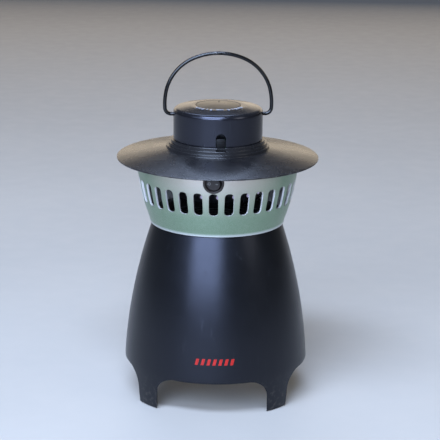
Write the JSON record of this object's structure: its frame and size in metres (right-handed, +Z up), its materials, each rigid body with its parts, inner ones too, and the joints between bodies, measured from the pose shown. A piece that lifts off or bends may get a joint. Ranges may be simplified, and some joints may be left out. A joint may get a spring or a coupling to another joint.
{
  "type": "electric insect trap",
  "caption": "Bell-shaped outdoor insect trap on legs, with a slotted intake collar, wide rain hat, twist lid and wire bail, and a fan, lamps and catch basket inside.",
  "frame": {"origin": "on the ground, at the middle of the trap's footprint, under its axis", "axes": "+Z up along the trap's axis; -Y is the front, where the switch is; +X is the user's right"},
  "size_m": [0.228, 0.228, 0.3948],
  "materials": {
    "housing_black": "satin",
    "hat_black": "satin",
    "cap_black": "satin",
    "lid_black": "gloss",
    "collar_paint": "satin",
    "inner_black": "matte",
    "basket_plastic": "satin",
    "mesh_fabric": "matte",
    "rubber": "matte",
    "bail_enamel": "gloss",
    "steel": "satin",
    "switch_plastic": "satin",
    "circuit_board": "satin",
    "lamp_lens": "clear",
    "nylon": "satin",
    "cartridge": "satin",
    "lead_sheath": "satin"
  },
  "bodies": {
    "housing": {"lower_housing": "housing_black", "foot_pads": "rubber", "outlet_grille": "inner_black", "grille_screws": "steel"},
    "head": {"slotted_collar": "collar_paint", "fan_duct": "inner_black", "duct_screws": "steel", "fan_guard": "inner_black", "fan_motor": "steel", "lamp_housing": "inner_black", "lamp_cover": "inner_black", "lamp_screws": "steel", "led_board": "circuit_board", "uv_leds": "lamp_lens", "switch_body": "switch_plastic", "inlet_jack": "inner_black", "jack_nut": "steel", "rain_hat": "hat_black", "hat_screws": "steel", "latch_pin": "steel", "driver_board": "circuit_board", "cap_shell": "cap_black", "handle_bushes": "nylon", "cartridge_cup": "inner_black", "scent_cartridge": "cartridge", "lid_seal": "rubber", "inlet_lead": "lead_sheath", "switch_lead": "lead_sheath", "lamp_lead": "lead_sheath", "fan_lead": "lead_sheath"},
    "handle": {"bail_handle": "bail_enamel"},
    "lid": {"scent_lid": "lid_black"},
    "rocker": {"switch_rocker": "switch_plastic"},
    "latch": {"latch_tongue": "cap_black"},
    "fan": {"fan_impeller": "inner_black", "motor_shaft": "steel"},
    "basket": {"basket_ring": "basket_plastic", "basket_base": "basket_plastic", "basket_frame": "basket_plastic", "basket_mesh": "mesh_fabric"}
  },
  "joints": [
    {"name": "head_lift", "type": "slide", "parent": "housing", "child": "head", "axis": [0, 0, 1], "range_m": [0, 0.16]},
    {"name": "handle_swing", "type": "hinge", "parent": "head", "child": "handle", "pos_m": [0, 0, 0.3242], "axis": [0.9936, 0.1132, 0], "range_deg": [-110, 110]},
    {"name": "lid_twist", "type": "hinge", "parent": "head", "child": "lid", "pos_m": [0, 0, 0.3323], "axis": [0, 0, 1], "range_deg": [0, 40]},
    {"name": "switch_rock", "type": "hinge", "parent": "head", "child": "rocker", "pos_m": [0, -0.08849, 0.26596], "axis": [0, -0.0945, 0.9955], "range_deg": [0, 18]},
    {"name": "latch_press", "type": "hinge", "parent": "head", "child": "latch", "pos_m": [0.00547, -0.04799, 0.29428], "axis": [0.9936, 0.1132, 0], "range_deg": [-6, 0], "stiffness_Nm_per_rad": 0.2},
    {"name": "fan_spin", "type": "hinge", "parent": "head", "child": "fan", "pos_m": [0, 0, 0.185], "axis": [0, 0, 1], "continuous": true},
    {"name": "basket_twist", "type": "hinge", "parent": "head", "child": "basket", "pos_m": [0, 0, 0.16], "axis": [0, 0, 1], "range_deg": [0, 40]}
  ]
}
